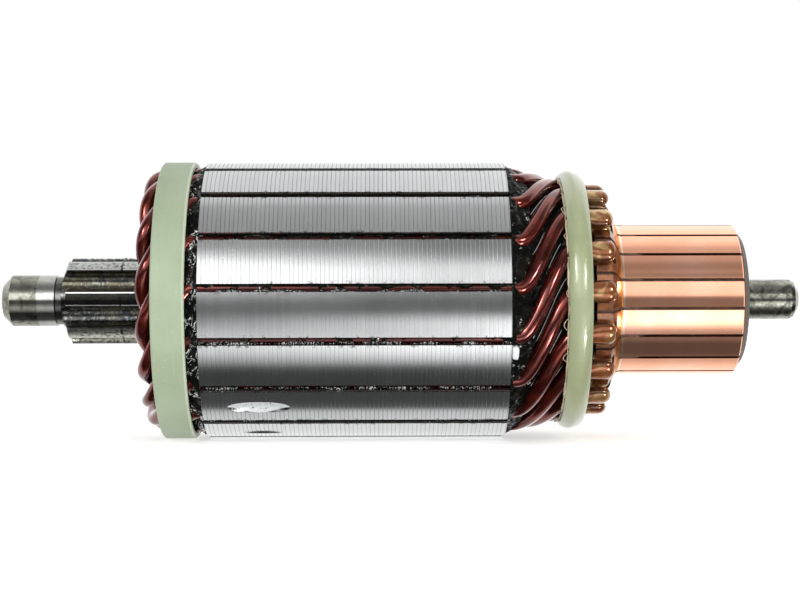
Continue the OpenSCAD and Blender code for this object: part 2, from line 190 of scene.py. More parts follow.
class Graph:
    """The nodes of one material or world."""

    def __init__(self, tree: bpy.types.NodeTree) -> None:
        """Start from an empty tree."""
        self.tree = tree
        tree.nodes.clear()

    def node(self, kind: str, settings: dict | None = None, inputs: dict | None = None) -> bpy.types.Node:
        """Add a node.

        Args:
            kind: The node's type.
            settings: What is set on the node itself, with a ramp's stops under "stops".
            inputs: Values or sockets for its inputs, by name or number.

        Returns:
            The new node.
        """
        made = self.tree.nodes.new(kind)
        for name, value in (settings or {}).items():
            if name == "stops":
                self._set_stops(made, value)
            else:
                setattr(made, name, value)
        for name, value in (inputs or {}).items():
            slot = made.inputs[name]
            if isinstance(value, Socket):
                self.tree.links.new(value.link, slot)
            elif isinstance(value, tuple) and len(value) == 3 and slot.type == "RGBA":
                slot.default_value = (*value, 1.0)
            else:
                slot.default_value = value
        return made

    @staticmethod
    def _set_stops(made: bpy.types.Node, stops: Stops) -> None:
        """Set a ramp's stops.

        Args:
            made: The ramp's node.
            stops: Rows of place and grey or colour.
        """
        ramp = made.color_ramp
        while len(ramp.elements) > 1:
            ramp.elements.remove(ramp.elements[-1])
        for number, (place, shade) in enumerate(stops):
            element = ramp.elements[0] if number == 0 else ramp.elements.new(place)
            element.position = place
            colour = shade if isinstance(shade, tuple) else (shade, shade, shade)
            element.color = (*colour, 1.0)

    def out(self, made: bpy.types.Node, name: str | int = 0) -> Socket:
        """One output of a node."""
        return Socket(self, made.outputs[name])

    def place(self) -> Socket:
        """Position in the part's frame, in metres."""
        return self.out(self.node("ShaderNodeTexCoord"), "Object")

    def split(self, vector: Socket) -> tuple[Socket, Socket, Socket]:
        """The three parts of a vector."""
        made = self.node("ShaderNodeSeparateXYZ", None, {0: vector})
        return self.out(made, 0), self.out(made, 1), self.out(made, 2)

    def join(self, x: Value, y: Value, z: Value) -> Socket:
        """A vector from three parts."""
        return self.out(self.node("ShaderNodeCombineXYZ", None, {0: x, 1: y, 2: z}))

    def shaft_place(self) -> tuple[Socket, Socket, Socket]:
        """Where a point lies on the part.

        Returns:
            Place along the shaft in mm, radius in mm and angle in radians up from the -Y side.
        """
        x, y, z = self.split(self.place())
        radius = ((y * 1000.0) ** 2.0 + (z * 1000.0) ** 2.0).root()
        return x * 1000.0, radius, z.direction_from(y * -1.0)

    def mottle(self, scale: float, detail: float = 2.0, rough: float = 0.5,
               at: Socket | None = None, warp: float = 0.0) -> Socket:
        """Noise from 0 to 1.

        Args:
            scale: Its scale.
            detail: Its number of octaves.
            rough: How strong the finer octaves are.
            at: Where it is read; the place in the part's frame if left out.
            warp: Its distortion.

        Returns:
            The noise.
        """
        return self.out(self.node("ShaderNodeTexNoise", {"noise_dimensions": "3D"}, {
            "Vector": at or self.place(), "Scale": scale, "Detail": detail, "Roughness": rough,
            "Distortion": warp}))

    def grain(self, x: Value, y: Value, z: Value = 0.0, detail: float = 3.0, rough: float = 0.6) -> Socket:
        """Noise read at a place of three parts, so that it can be drawn out over the surface."""
        return self.mottle(1.0, detail, rough, self.join(x, y, z))

    def chance(self, value: Socket) -> Socket:
        """A random number for each value."""
        return self.out(self.node("ShaderNodeTexWhiteNoise", {"noise_dimensions": "1D"}, {"W": value}))

    def blend(self, share: Value, first: Socket | Colour, second: Socket | Colour,
              way: str = "MIX") -> Socket:
        """Mix two colours.

        Args:
            share: How much of the second.
            first: Colour at 0.
            second: Colour at 1.
            way: The mix's blend type.

        Returns:
            The mixed colour.
        """
        made = self.node("ShaderNodeMix", {"data_type": "RGBA", "blend_type": way},
                         {0: share, 6: first, 7: second})
        return self.out(made, 2)

    def coats(self, base: Socket, *coats: tuple[Value, Socket | Colour]) -> Socket:
        """Lay colours one over the other.

        Args:
            base: The lowest colour.
            coats: Rows of share and colour, from the lowest up.

        Returns:
            The colour that shows.
        """
        for share, colour in coats:
            base = self.blend(share, base, colour)
        return base

    def ramp(self, value: Socket, stops: Stops) -> Socket:
        """Colour ramp over a value."""
        return self.out(self.node("ShaderNodeValToRGB", {"stops": stops}, {0: value}))

    def bump(self, height: Socket, depth: float, strength: float) -> Socket:
        """Normal from a height between 0 and 1 times a depth in metres."""
        return self.out(self.node("ShaderNodeBump", None, {
            "Strength": strength, "Distance": depth, "Height": height}))

    def surface(self, inputs: dict) -> None:
        """End in a surface shader with these inputs."""
        shader = self.node("ShaderNodeBsdfPrincipled", None, inputs)
        self.node("ShaderNodeOutputMaterial", None, {"Surface": self.out(shader)})


class Finish:
    """Base of all finishes: a named material whose nodes are made by its paint method."""

    title: str = "finish"

    def paint(self, graph: Graph) -> dict:
        """Make the nodes.

        Args:
            graph: The material's nodes.

        Returns:
            The shader's inputs, by name.
        """
        raise NotImplementedError

    def material(self) -> Material:
        """Make the material.

        Returns:
            The finished material.
        """
        made = bpy.data.materials.new(self.title)
        made.use_nodes = True
        graph = Graph(made.node_tree)
        graph.surface(self.paint(graph))
        return made


@dataclass(frozen=True)
class GroundCore(Finish):
    """Ground edges of the laminations, with varnish stains by the slots and painted shade with varnish
    inside them.
    """

    title: str = "ground_core"
    start: float = 35.0
    plate: float = 0.82
    radius: float = 27.35
    cut_along: float = 10.85
    cut_half: float = 5.75
    cut_turn: float = math.radians(-48.0)
    cut_drop: float = math.radians(3.5)
    line_fade_by_angle: Stops = ((0.0, 0.6), (0.33, 0.65), (0.37, 0.5), (0.42, 0.32), (0.455, 0.25), (0.46, 0.14),
                   (0.508, 0.16), (0.52, 0.72), (0.57, 0.8), (0.59, 1.0), (0.7, 1.0), (0.85, 0.7))

    def paint(self, graph: Graph) -> dict:
        """Plate edges as fine dark lines on ground steel.

        Args:
            graph: The material's nodes.

        Returns:
            The shader's inputs, by name.
        """
        along, radius, angle = graph.shaft_place()
        count = (along - self.start) / self.plate
        number = count.floor()
        gap = abs(count.fraction() - 0.5) * 2.0
        uneven = graph.grain(along * 0.9, angle * 5.0)
        # The plate lines are drawn fainter over some angles round the shaft, most of all near the front
        # side.
        line_fade = graph.ramp(angle / FULL_TURN + 0.5, self.line_fade_by_angle)
        strength = graph.chance(number + 0.5) * 0.3 + uneven.step(0.3, 0.7) * 0.3 + 0.65
        line = gap.step(0.64, 0.98) * strength * line_fade
        plate_tone = graph.chance(number) * 0.05 + 0.97
        cloud = graph.mottle(90.0, 4.0, 0.6)
        tone = plate_tone * (cloud * 0.18 + 0.9)
        steel = graph.blend(1.0, (0.66, 0.67, 0.675), graph.join(tone, tone, tone), "MULTIPLY")
        from_slot = abs(angle.off_nearest(math.radians(FIRST_SLOT), SLOT_TURN)) * SLOT_TURN * radius
        stain = graph.mottle(900.0, 3.0, 0.65).step(0.52, 0.64) * from_slot.step(1.5, 0.75)
        # Painted shade of the slots, with varnish: inside them the steel is drawn near black and less
        # metallic.
        slot_shade_and_varnish = radius.step(self.radius - 0.15, self.radius - 0.4) * from_slot.step(1.75, 1.6)
        reach = (along - self.start - self.cut_along) / self.cut_half
        leaf = angle - self.cut_turn + (1.0 - reach * reach) * self.cut_drop
        cut = radius.step(self.radius - 0.06, self.radius - 0.12) * leaf.step(-0.002, 0.004)
        cut = cut * (angle - self.cut_turn).step(-0.1, -0.09) * from_slot.step(2.0, 2.2)
        chips = graph.mottle(1500.0, 3.0, 0.7).step(0.6, 0.66)
        milled = graph.blend(chips * 0.8, (0.68, 0.7, 0.71), (0.05, 0.05, 0.05))
        grind = graph.grain(along * 14.0, angle * 1.2, detail=2.0, rough=0.5)
        height = grind * 0.12 + graph.mottle(2600.0, 2.0) * 0.12 - line * 0.35
        return {
            "Base Color": graph.coats(
                steel, ((line * 0.6).at_most(1.0), (0.1, 0.1, 0.1)), (stain * 0.75, (0.05, 0.045, 0.04)),
                (slot_shade_and_varnish, (0.02, 0.017, 0.015)), (cut, milled)),
            "Metallic": (slot_shade_and_varnish * -0.8 - cut * 0.75 + 1.0).at_least(0.1),
            "Roughness": (cloud * 0.08 + 0.1 + line * 0.25 + stain * 0.2 + cut * 0.3).at_most(0.8),
            "Normal": graph.bump(height, 0.00003, 0.6),
        }


@dataclass(frozen=True)
class WireEnamel(Finish):
    """Red-brown enamel over copper, browned with varnish at the tips."""

    core_start: float
    core_end: float
    title: str = "wire_enamel"
    tip_start: float = 107.6
    tip_full: float = 111.1
    tip_nose: float = 113.5
    tip_half: float = 2.2
    first_tip: float = math.radians(FIRST_SLOT - BAR_LAG)

    def paint(self, graph: Graph) -> dict:
        """Enamel that is darker where varnish has pooled, with painted shade in the slots and on the sides
        of the tips, and a painted sheen at grazing angles.

        Args:
            graph: The material's nodes.

        Returns:
            The shader's inputs, by name.
        """
        along, radius, angle = graph.shaft_place()
        cloud = graph.mottle(160.0, 3.0, 0.55)
        pooled = graph.mottle(420.0, 3.0, 0.6).step(0.4, 0.68)
        red = graph.blend(cloud.step(0.3, 0.7), (0.105, 0.013, 0.009), (0.21, 0.027, 0.016))
        # Painted shade of the slots, with varnish stain: the wires are drawn darker where they lie in the
        # core.
        slot_wire_shade_and_stain = along.window(self.core_start, self.core_start + 0.4, self.core_end - 0.4, self.core_end)
        gold = graph.blend(cloud.step(0.35, 0.65), (0.27, 0.13, 0.045), (0.58, 0.4, 0.17))
        burnt = graph.mottle(260.0, 2.0, 0.5, warp=0.5).step(0.45, 0.54)
        browned = (pooled * 0.4 + burnt * 0.8).at_most(0.94)
        share = (along + cloud * 2.0).step(self.tip_start, self.tip_full)
        facing = graph.out(graph.node("ShaderNodeLayerWeight", None, {0: 0.5}), "Facing")
        sheen = facing.step(0.78, 0.96) * (share * -0.55 + 0.55)
        # Painted shade: the sides and nose of each tip are drawn dark brown, as an outline.
        off = abs(angle.off_nearest(self.first_tip, SLOT_TURN)) * SLOT_TURN * radius
        side = off.step(self.tip_half - 0.75, self.tip_half - 0.15).at_least(
            along.step(self.tip_nose - 0.6, self.tip_nose - 0.1))
        return {
            "Base Color": graph.coats(
                red, (pooled * 0.6, (0.04, 0.006, 0.005)), (slot_wire_shade_and_stain * 0.55, (0.02, 0.006, 0.005)),
                (share, graph.blend(browned, gold, (0.23, 0.06, 0.015))), (sheen, (0.8, 0.55, 0.5)),
                (side * share * 0.8, (0.07, 0.025, 0.01))),
            "Metallic": share * -0.35 + 0.8,
            "Roughness": cloud * 0.08 + 0.1 + share * 0.02,
            "Coat Weight": share * -0.25 + 0.7,
            "Coat Roughness": 0.02,
            "Coat IOR": 1.4,
            "Normal": graph.bump(graph.mottle(350.0, 2.0, 0.5), 0.0001, 0.3),
        }


@dataclass(frozen=True)
class BlackVarnish(Finish):
    """Black insulation under thick glossy varnish."""

    title: str = "black_varnish"
    lump_depth: float = 0.0005
    thin_share: float = 0.5
    painted_glint_lines: float = 0.0
    sparse: float = 0.48
    painted_slot_glints: float = 0.0
    coat_index: float = 1.36

    def paint(self, graph: Graph) -> dict:
        """Lumpy and nearly black, with brown where it is thin, and painted glints as pale lines and grains.

        Args:
            graph: The material's nodes.

        Returns:
            The shader's inputs, by name.
        """
        lumps = graph.mottle(650.0, 4.0, 0.62, warp=0.6)
        thin = graph.mottle(220.0, 3.0).step(0.55, 0.8)
        glossy = graph.mottle(380.0, 3.0, 0.6).step(0.5, 0.6)
        colour = graph.blend(thin * self.thin_share, (0.004, 0.0045, 0.0035), (0.03, 0.018, 0.01))
        # Painted glints: thin pale squiggly lines that stand in for highlights on the lumps.
        if self.painted_glint_lines:
            bend = graph.mottle(640.0, 2.0, 0.5, warp=1.0)
            shown = graph.mottle(300.0, 2.0).step(self.sparse, self.sparse + 0.08)
            thread = abs(bend - 0.5).step(0.026, 0.01) * shown
            colour = graph.blend(thread * self.painted_glint_lines, colour, (0.85, 0.85, 0.82))
        # Painted glints: pale grains along one side of each slot mouth, standing in for highlights on the
        # varnish.
        if self.painted_slot_glints:
            along, _, angle = graph.shaft_place()
            offset = angle.off_nearest(math.radians(FIRST_SLOT), SLOT_TURN) * (SLOT_TURN * MOUTH_R)
            grain = graph.grain(along * 3.0, angle * 60.0, rough=0.7)
            slot_glint = grain.step(0.5, 0.6) * offset.step(-0.2, -0.38)
            colour = graph.blend(slot_glint * self.painted_slot_glints, colour, (0.7, 0.7, 0.68))
        return {
            "Base Color": colour,
            "Roughness": glossy * -0.2 + 0.4,
            "Specular IOR Level": 0.02,
            "Coat Weight": glossy * 0.85 + 0.1,
            "Coat Roughness": 0.02,
            "Coat IOR": self.coat_index,
            "Normal": graph.bump(lumps, self.lump_depth, 0.9),
        }


class BandGloss(Enum):
    """The two kinds of banding."""

    MATT = "matt"
    VARNISHED = "varnished"


@dataclass(frozen=True)
class GlassBand(Finish):
    """Pale green glass-fibre banding."""

    title: str = "flat_band"
    gloss: BandGloss = BandGloss.MATT
    body: Colour = (0.36, 0.43, 0.3)
    deep: Colour = (0.31, 0.375, 0.245)
    pale: Colour = (0.55, 0.59, 0.47)
    painted_highlight_end: float = 1000.0

    def paint(self, graph: Graph) -> dict:
        """Threads wound round and round under resin, with a painted highlight along the band's end.

        Args:
            graph: The material's nodes.

        Returns:
            The shader's inputs, by name.
        """
        along, radius, angle = graph.shaft_place()
        threads = graph.grain(along * 5.0, angle * 3.0, radius * 2.0)
        cloud = graph.mottle(70.0, 3.0, 0.55)
        specks = graph.mottle(1500.0, 2.0, 0.6).step(0.62, 0.74)
        body = graph.blend(cloud.step(0.3, 0.7), self.body, self.deep)
        # Painted highlight: a pale line along the band's end.
        edge = along.step(self.painted_highlight_end - 0.5, self.painted_highlight_end - 0.25)
        matt = self.gloss is BandGloss.MATT
        return {
            "Base Color": graph.coats(
                body, (threads.step(0.5, 0.75) * 0.14, self.pale), (specks * 0.25, self.pale),
                (edge * 0.7, (0.62, 0.68, 0.52))),
            "Roughness": cloud * 0.1 + (0.46 if matt else 0.3),
            "Coat Weight": 0.1 if matt else 0.8,
            "Coat Roughness": 0.3 if matt else 0.06,
            "Normal": graph.bump(threads * 0.6 + specks * 0.4, 0.00006 if matt else 0.00003, 0.5),
        }


@dataclass(frozen=True)
class TurnedCopper(Finish):
    """Fine-turned brush track with varnish-browned risers."""

    title: str = "turned_copper"
    collar: float = 115.7
    track_r: float = 15.0
    riser_r: float = 20.1
    bar_phase: float = 0.3144

    def paint(self, graph: Graph) -> dict:
        """Turning marks round the track, brown varnish on the risers, and a painted highlight along the
        collar.

        Args:
            graph: The material's nodes.

        Returns:
            The shader's inputs, by name.
        """
        along, radius, angle = graph.shaft_place()
        turning = graph.grain(along * 16.0, angle * 0.25)
        cloud = graph.mottle(110.0, 3.0, 0.55)
        bar = graph.chance((angle * (SLOTS / FULL_TURN) + self.bar_phase).floor())
        copper = graph.blend(cloud.step(0.3, 0.7), (0.98, 0.525, 0.37), (0.93, 0.45, 0.29))
        nick = graph.grain(along * 1.6 - angle * 24.0, along * 0.12 + angle * 1.8, detail=1.0, rough=0.5)
        # Painted highlight: a pale line along the collar edge.
        edge = abs(along - self.collar).step(0.3, 0.08)
        orange = graph.blend(cloud.step(0.4, 0.6), (0.85, 0.4, 0.1), (0.66, 0.27, 0.06))
        slope = (along - cloud * 0.8).step(self.collar - 0.4, self.collar - 1.0)
        soaked = graph.mottle(330.0, 3.0, 0.6)
        brown = graph.blend(soaked.step(0.35, 0.65), (0.1, 0.033, 0.013), (0.34, 0.12, 0.04))
        riser = (radius + soaked * 1.2).step(self.riser_r - 1.9, self.riser_r - 0.7)
        inner = radius.step(self.track_r - 0.08, self.track_r - 0.3)
        scratch = graph.grain(along * 3.0, angle * 40.0, detail=2.0, rough=0.5)
        return {
            "Base Color": graph.coats(
                copper, (bar * 0.4, (0.76, 0.335, 0.2)), (nick.step(0.66, 0.71) * 0.13, (0.98, 0.74, 0.6)),
                (edge * 0.6, (0.98, 0.84, 0.75)), (slope, orange), (riser, brown),
                (inner * 0.8, (0.12, 0.035, 0.015))),
            "Metallic": riser * -0.3 + 1.0,
            "Roughness": turning * 0.06 + cloud * 0.04 + 0.06 + inner * 0.3 + slope * 0.22,
            "Coat Weight": riser * 0.8,
            "Coat Roughness": 0.08,
            "Normal": graph.bump(turning * 0.8 + scratch * 0.2, 0.000008, 0.6),
        }


@dataclass(frozen=True)
class ShaftSteel(Finish):
    """Ground journals and a blackened pinion with heat tints."""

    title: str = "shaft_steel"
    pinion_start: float = 5.7
    pinion_end: float = 33.4
    bright_start: float = 0.9
    bright_end: float = 4.4
    mark: float = 18.4
    teeth: int = 7
    first_tooth: float = math.radians(2.0)
    far_start: float = 140.3
    # Near black, for the painted shade on the flat tops of the teeth and for the crack marks.
    land_shade_and_crack_black: Colour = (0.01, 0.01, 0.01)
    tints: Stops = ((0.25, (0.052, 0.066, 0.1)), (0.42, (0.045, 0.047, 0.05)), (0.52, (0.085, 0.085, 0.08)),
                    (0.62, (0.145, 0.13, 0.085)), (0.78, (0.065, 0.075, 0.08)))

    def land(self, radius: Socket) -> Socket:
        """Share of the flat tops of the teeth."""
        return radius.step(8.35, 8.55)

    def teeth_colour(self, graph: Graph, radius: Socket, angle: Socket, grit_and_glint_noise: Socket) -> Socket:
        """Blackened and tinted teeth, with painted light and shade on their flat tops and lower sides.

        Args:
            graph: The material's nodes.
            radius: Radius in mm.
            angle: Angle in radians.
            grit_and_glint_noise: Fine noise.

        Returns:
            The colour.
        """
        tint = graph.ramp(graph.mottle(150.0, 3.0, 0.6, warp=0.4), self.tints)
        land = self.land(radius)
        pitch = FULL_TURN / self.teeth
        off = abs(angle.off_nearest(self.first_tooth, pitch)) * pitch
        # Painted highlights along both edges of each tooth's flat top.
        painted_land_edge_highlight = off.window(0.128, 0.138, 0.152, 0.162)
        # Flat tops drawn light grey as rubbed metal, left off the tooth that faces the front, which keeps
        # its painted black shade.
        rubbed = land * abs(angle).step(0.2, 0.5) * (grit_and_glint_noise.step(0.36, 0.58) * 0.6 + 0.4)
        # Painted light: the lower teeth are drawn pale straw.
        under = angle.step(-0.62, -0.78) * radius.step(6.3, 7.2) * (grit_and_glint_noise.step(0.38, 0.56) * 0.7 + 0.2)
        # Grey specks are partly grit and partly painted glints; the flat tops are first painted black as
        # shade.
        return graph.coats(
            tint, (grit_and_glint_noise.step(0.5, 0.62) * 0.6, (0.3, 0.3, 0.28)), (land * (1.0 - painted_land_edge_highlight) * 0.92, self.land_shade_and_crack_black),
            (land * painted_land_edge_highlight, (0.7, 0.71, 0.69)), (rubbed, (0.46, 0.47, 0.45)), (under, (0.78, 0.78, 0.68)))

    def paint(self, graph: Graph) -> dict:
        """Olive-grey ground steel with a rubbed bright ring, and dark teeth.

        Args:
            graph: The material's nodes.

        Returns:
            The shader's inputs, by name.
        """
        along, radius, angle = graph.shaft_place()
        cloud = graph.mottle(260.0, 4.0, 0.6)
        patches = graph.mottle(520.0, 3.0, 0.6, warp=0.8)
        grit_and_glint_noise = graph.mottle(1400.0, 3.0, 0.7)
        ground = graph.blend(cloud.step(0.3, 0.7), (0.2, 0.2, 0.165), (0.36, 0.36, 0.31))
        rub = (along + cloud * 1.0).step(self.bright_start + 0.4, self.bright_start + 0.7)
        rub = rub * along.step(self.bright_end + 0.1, self.bright_end - 0.1) * (cloud * 0.5 + 0.35)
        toothed = along.window(self.pinion_start - 0.2, self.pinion_start + 0.2,
                               self.pinion_end, self.pinion_end + 0.5)
        groove = along.window(self.bright_end, self.bright_end + 0.3,
                              self.pinion_start + 0.2, self.pinion_start + 0.6)
        mark = abs(along + patches * 0.8 - self.mark).step(0.3, 0.12) * self.land(radius)
        far = along.step(self.far_start, self.far_start + 0.3) * (patches.step(0.4, 0.6) * 0.5 + 0.1)
        ring = along.window(self.far_start - 0.5, self.far_start, self.far_start + 0.7, self.far_start + 1.6)
        marks = graph.grain(along * 10.0, angle * 0.6)
        return {
            "Base Color": graph.coats(
                ground, (patches.step(0.5, 0.66) * 0.75, (0.08, 0.08, 0.065)), (rub, (0.5, 0.5, 0.49)),
                (toothed, self.teeth_colour(graph, radius, angle, grit_and_glint_noise)), (groove * 0.7, (0.09, 0.095, 0.1)),
                (mark * patches.step(0.42, 0.5) * 0.9, self.land_shade_and_crack_black), (far, (0.07, 0.07, 0.058)),
                (ring * 0.75, (0.02, 0.02, 0.017))),
            "Metallic": 1.0,
            "Roughness": (cloud * 0.12 + 0.1 + toothed * grit_and_glint_noise * 0.1).at_most(0.75),
            "Normal": graph.bump(marks * 0.4 + grit_and_glint_noise * toothed * 2.6, 0.00002, 0.7),
        }


@dataclass(frozen=True)
class MouldedResin(Finish):
    """Grey moulding compound or brown mica."""

    title: str = "hub_resin"
    body: Colour = (0.105, 0.08, 0.056)
    deep: Colour = (0.058, 0.044, 0.032)
    rough: float = 0.5

    def paint(self, graph: Graph) -> dict:
        """Filled resin with a fine grain.

        Args:
            graph: The material's nodes.

        Returns:
            The shader's inputs, by name.
        """
        cloud = graph.mottle(300.0, 4.0, 0.6)
        grain = graph.mottle(2200.0, 2.0, 0.6)
        return {
            "Base Color": graph.blend(cloud.step(0.3, 0.7), self.body, self.deep),
            "Roughness": grain * 0.15 + self.rough,
            "Normal": graph.bump(grain, 0.00004, 0.5),
        }


@dataclass(frozen=True)
class PlainSteel(Finish):
    """Turned steel of the bush."""

    title: str = "bush_steel"

    def paint(self, graph: Graph) -> dict:
        """Turned grey steel.

        Args:
            graph: The material's nodes.

        Returns:
            The shader's inputs, by name.
        """
        along, radius, angle = graph.shaft_place()
        rings = graph.grain(radius * 9.0, along * 9.0, angle * 0.4)
        return {
            "Base Color": graph.blend(rings, (0.33, 0.33, 0.32), (0.5, 0.5, 0.49)),
            "Metallic": 1.0,
            "Roughness": rings * 0.2 + 0.25,
            "Normal": graph.bump(rings, 0.00002, 0.5),
        }


@dataclass(frozen=True)
class Paint(Finish):
    """Uneven pale coat: a dab of marking paint, dried pale resin, and the painted highlights on the
    insulation folds.
    """

    title: str = "white_paint"
    body: Colour = (0.8, 0.81, 0.83)
    shade: Colour = (0.62, 0.64, 0.68)

    def paint(self, graph: Graph) -> dict:
        """Uneven thick paint.

        Args:
            graph: The material's nodes.

        Returns:
            The shader's inputs, by name.
        """
        cloud = graph.mottle(700.0, 3.0, 0.6)
        return {
            "Base Color": graph.blend(cloud, self.body, self.shade),
            "Roughness": cloud * 0.2 + 0.35,
            "Coat Weight": 0.3,
            "Normal": graph.bump(cloud, 0.0001, 0.6),
        }


def on_shaft(along: float, radius: float, degrees: float) -> Point:
    """Point in metres from a place along the shaft, a radius in mm and an angle."""
    turn = math.radians(degrees)
    return (along * MM, -radius * MM * math.cos(turn), radius * MM * math.sin(turn))


def noise_spot(along: float, degrees: float, reach: float) -> Vector:
    """Where noise is read for a point round the shaft; reach sets how fine it is."""
    turn = math.radians(degrees)
    return Vector((along, math.cos(turn) * reach, math.sin(turn) * reach))


def node_ends(title: str) -> tuple[float, float]:
    """Places in mm along the shaft where a solid starts and ends."""
    low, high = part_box(title)
    return low[0] / MM, high[0] / MM


def turns(count: int) -> list[float]:
    """Even angles round the shaft, in degrees."""
    return [360.0 * i / count for i in range(count)]


def shares(steps: int) -> list[float]:
    """Even shares from 0 to 1, with both ends."""
    return [i / steps for i in range(steps + 1)]


def held(value: float) -> float:
    """Value held between 0 and 1."""
    return min(1.0, max(0.0, value))


def ease(share: float) -> float:
    """Smooth step between 0 and 1."""
    return held(share) ** 2 * (3.0 - 2.0 * held(share))


def ring_faces(rings: int, sides: int, closed: bool = False, capped: bool = False, first: int = 0) -> Faces:
    """Faces that join rings of points.

    Args:
        rings: Number of rings.
        sides: Points in a ring.
        closed: Whether the last ring meets the first.
        capped: Whether the two ends get a cap.
        first: Number of the first ring's first point.

    Returns:
        The faces.
    """
    faces = []
    for ring in range(rings if closed else rings - 1):
        here, after = first + ring * sides, first + (ring + 1) % rings * sides
        for side in range(sides):
            beside = (side + 1) % sides
            faces.append([here + side, here + beside, after + beside, after + side])
    if capped:
        last = first + (rings - 1) * sides
        faces.append(list(range(first, first + sides))[::-1])
        faces.append(list(range(last, last + sides)))
    return faces


def thread_ring(along: float, radius: float, degrees: float, thick: float, sides: int) -> list[Point]:
    """Ring of points round a thread that itself runs round the shaft; thick is its own radius."""
    around = [FULL_TURN * j / sides for j in range(sides)]
    return [on_shaft(along + thick * math.cos(a), radius + thick * math.sin(a), degrees) for a in around]


def add_mesh(title: str, slot: str, points: Sequence[Point], faces: Faces,
             finish: Material) -> Object:
    """Make a mesh object that rides with the part, and report it.

    Args:
        title: The piece's name.
        slot: Not used.
        points: Its points in metres, in the part's frame.
        faces: Its faces as rows of point numbers.
        finish: Its material.

    Returns:
        The new object.
    """
    mesh = bpy.data.meshes.new(title)
    mesh.from_pydata(points, [], faces)
    shell = bmesh.new()
    shell.from_mesh(mesh)
    bmesh.ops.recalc_face_normals(shell, faces=shell.faces)
    shell.to_mesh(mesh)
    shell.free()
    mesh.materials.append(finish)
    for face in mesh.polygons:
        face.use_smooth = True
    mesh.update()
    made = bpy.data.objects.new(title, mesh)
    bpy.context.scene.collection.objects.link(made)
    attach(made, "root")
    log.info("built %s with %s", title, finish.name)
    return made


class Station(NamedTuple):
    """Section of a wire: where it is, how far it has turned over, and its half sizes."""

    along: float
    radius: float
    degrees: float
    turn: float
    half_width: float
    half_height: float


